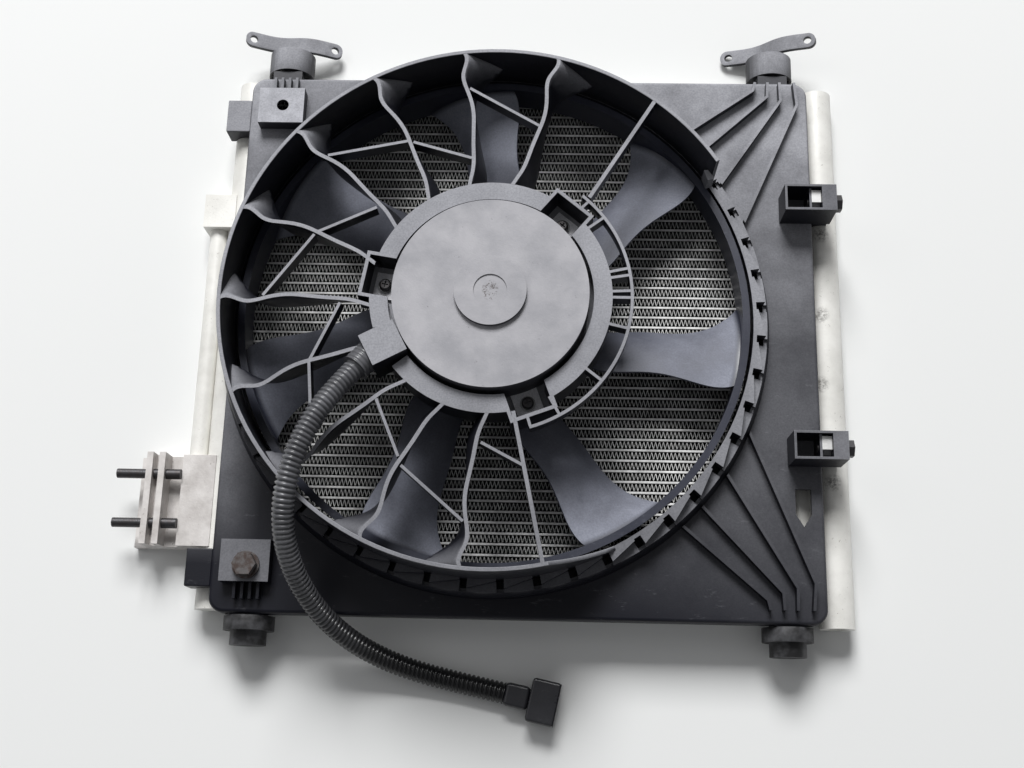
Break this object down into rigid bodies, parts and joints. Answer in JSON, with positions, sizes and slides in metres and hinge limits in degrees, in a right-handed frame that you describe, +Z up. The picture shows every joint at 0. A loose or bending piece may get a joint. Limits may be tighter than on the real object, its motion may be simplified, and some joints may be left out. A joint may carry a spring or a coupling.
{
  "type": "air conditioning condenser",
  "caption": "Flat-tube condenser core with side headers and receiver, under a fan shroud with a curved-vane stator, motor, bladed fan and a free cable conduit.",
  "frame": {"origin": "middle of the base of the box round the part without its free conduit", "axes": "+Z up through the motor, along the fan's axis; +Y towards the two ear brackets; +X towards the receiver"},
  "size_m": [0.4738, 0.4738, 0.1068],
  "materials": {
    "aluminium": "satin, dusty",
    "fins": "bright, thin sheet",
    "shroud": "moulded, dusty",
    "fan": "moulded, slight sheen",
    "motor": "dusty grey paint",
    "steel": "zinc plated",
    "laminations": "stacked sheet",
    "magnet": "ferrite",
    "copper": "enamelled wire",
    "black_plastic": "moulded",
    "carbon": "pressed graphite",
    "bracket": "grey, dusty",
    "rubber": "soft",
    "conduit": "corrugated, glossy",
    "bag": "woven"
  },
  "bodies": {
    "condenser": {"core_tubes": "aluminium", "core_fins": "fins", "side_plates": "aluminium", "header_left": "aluminium", "header_right": "aluminium", "header_caps": "aluminium", "header_baffles": "aluminium", "receiver_tube": "aluminium", "receiver_plug": "aluminium", "desiccant_bag": "bag", "receiver_saddles": "aluminium", "pipe_block": "aluminium", "inlet_pipe": "aluminium", "connector_block": "aluminium", "connector_studs": "steel", "fan_shroud": "shroud", "shroud_ribs": "shroud", "tunnel_ring": "shroud", "stator_rim": "shroud", "stator_vanes": "shroud", "motor_holder": "shroud", "motor_cover": "motor", "motor_end_plate": "motor", "motor_screws": "steel", "motor_washers": "steel", "bearing_upper": "steel", "bearing_lower": "steel", "magnets": "magnet", "brush_card": "black_plastic", "brushes": "carbon", "brush_springs": "steel", "bottom_bushes": "rubber", "header_clamps": "black_plastic", "clip_bracket_upper": "black_plastic", "clip_bracket_lower": "black_plastic", "clip_bolts": "steel", "clip_nuts": "steel", "pad_bolt": "steel", "pad_nut": "steel", "cable_outlet": "black_plastic", "conduit": "conduit", "connector_body": "black_plastic", "connector_head": "black_plastic", "connector_insert": "black_plastic", "connector_terminals": "copper"},
    "fan": {"fan_rotor": "fan", "fan_nut": "steel", "motor_shaft": "steel", "armature_core": "laminations", "armature_winding": "copper", "commutator": "copper"},
    "bracket_left": {"top_bracket_left": "bracket", "top_bush_left": "rubber"},
    "bracket_right": {"top_bracket_right": "bracket", "top_bush_right": "rubber"}
  },
  "joints": [
    {"name": "fan_spin", "type": "hinge", "parent": "condenser", "child": "fan", "pos_m": [0.0051, -0.004, 0.039], "axis": [0, 0, 1], "continuous": true},
    {"name": "bracket_left_swivel", "type": "hinge", "parent": "condenser", "child": "bracket_left", "pos_m": [-0.1449, 0.191, 0.017], "axis": [0, 1, 0], "range_deg": [-42.3, 11.7]},
    {"name": "bracket_right_swivel", "type": "hinge", "parent": "condenser", "child": "bracket_right", "pos_m": [0.1933, 0.191, 0.017], "axis": [0, 1, 0], "range_deg": [-0.7, 53.3]}
  ]
}
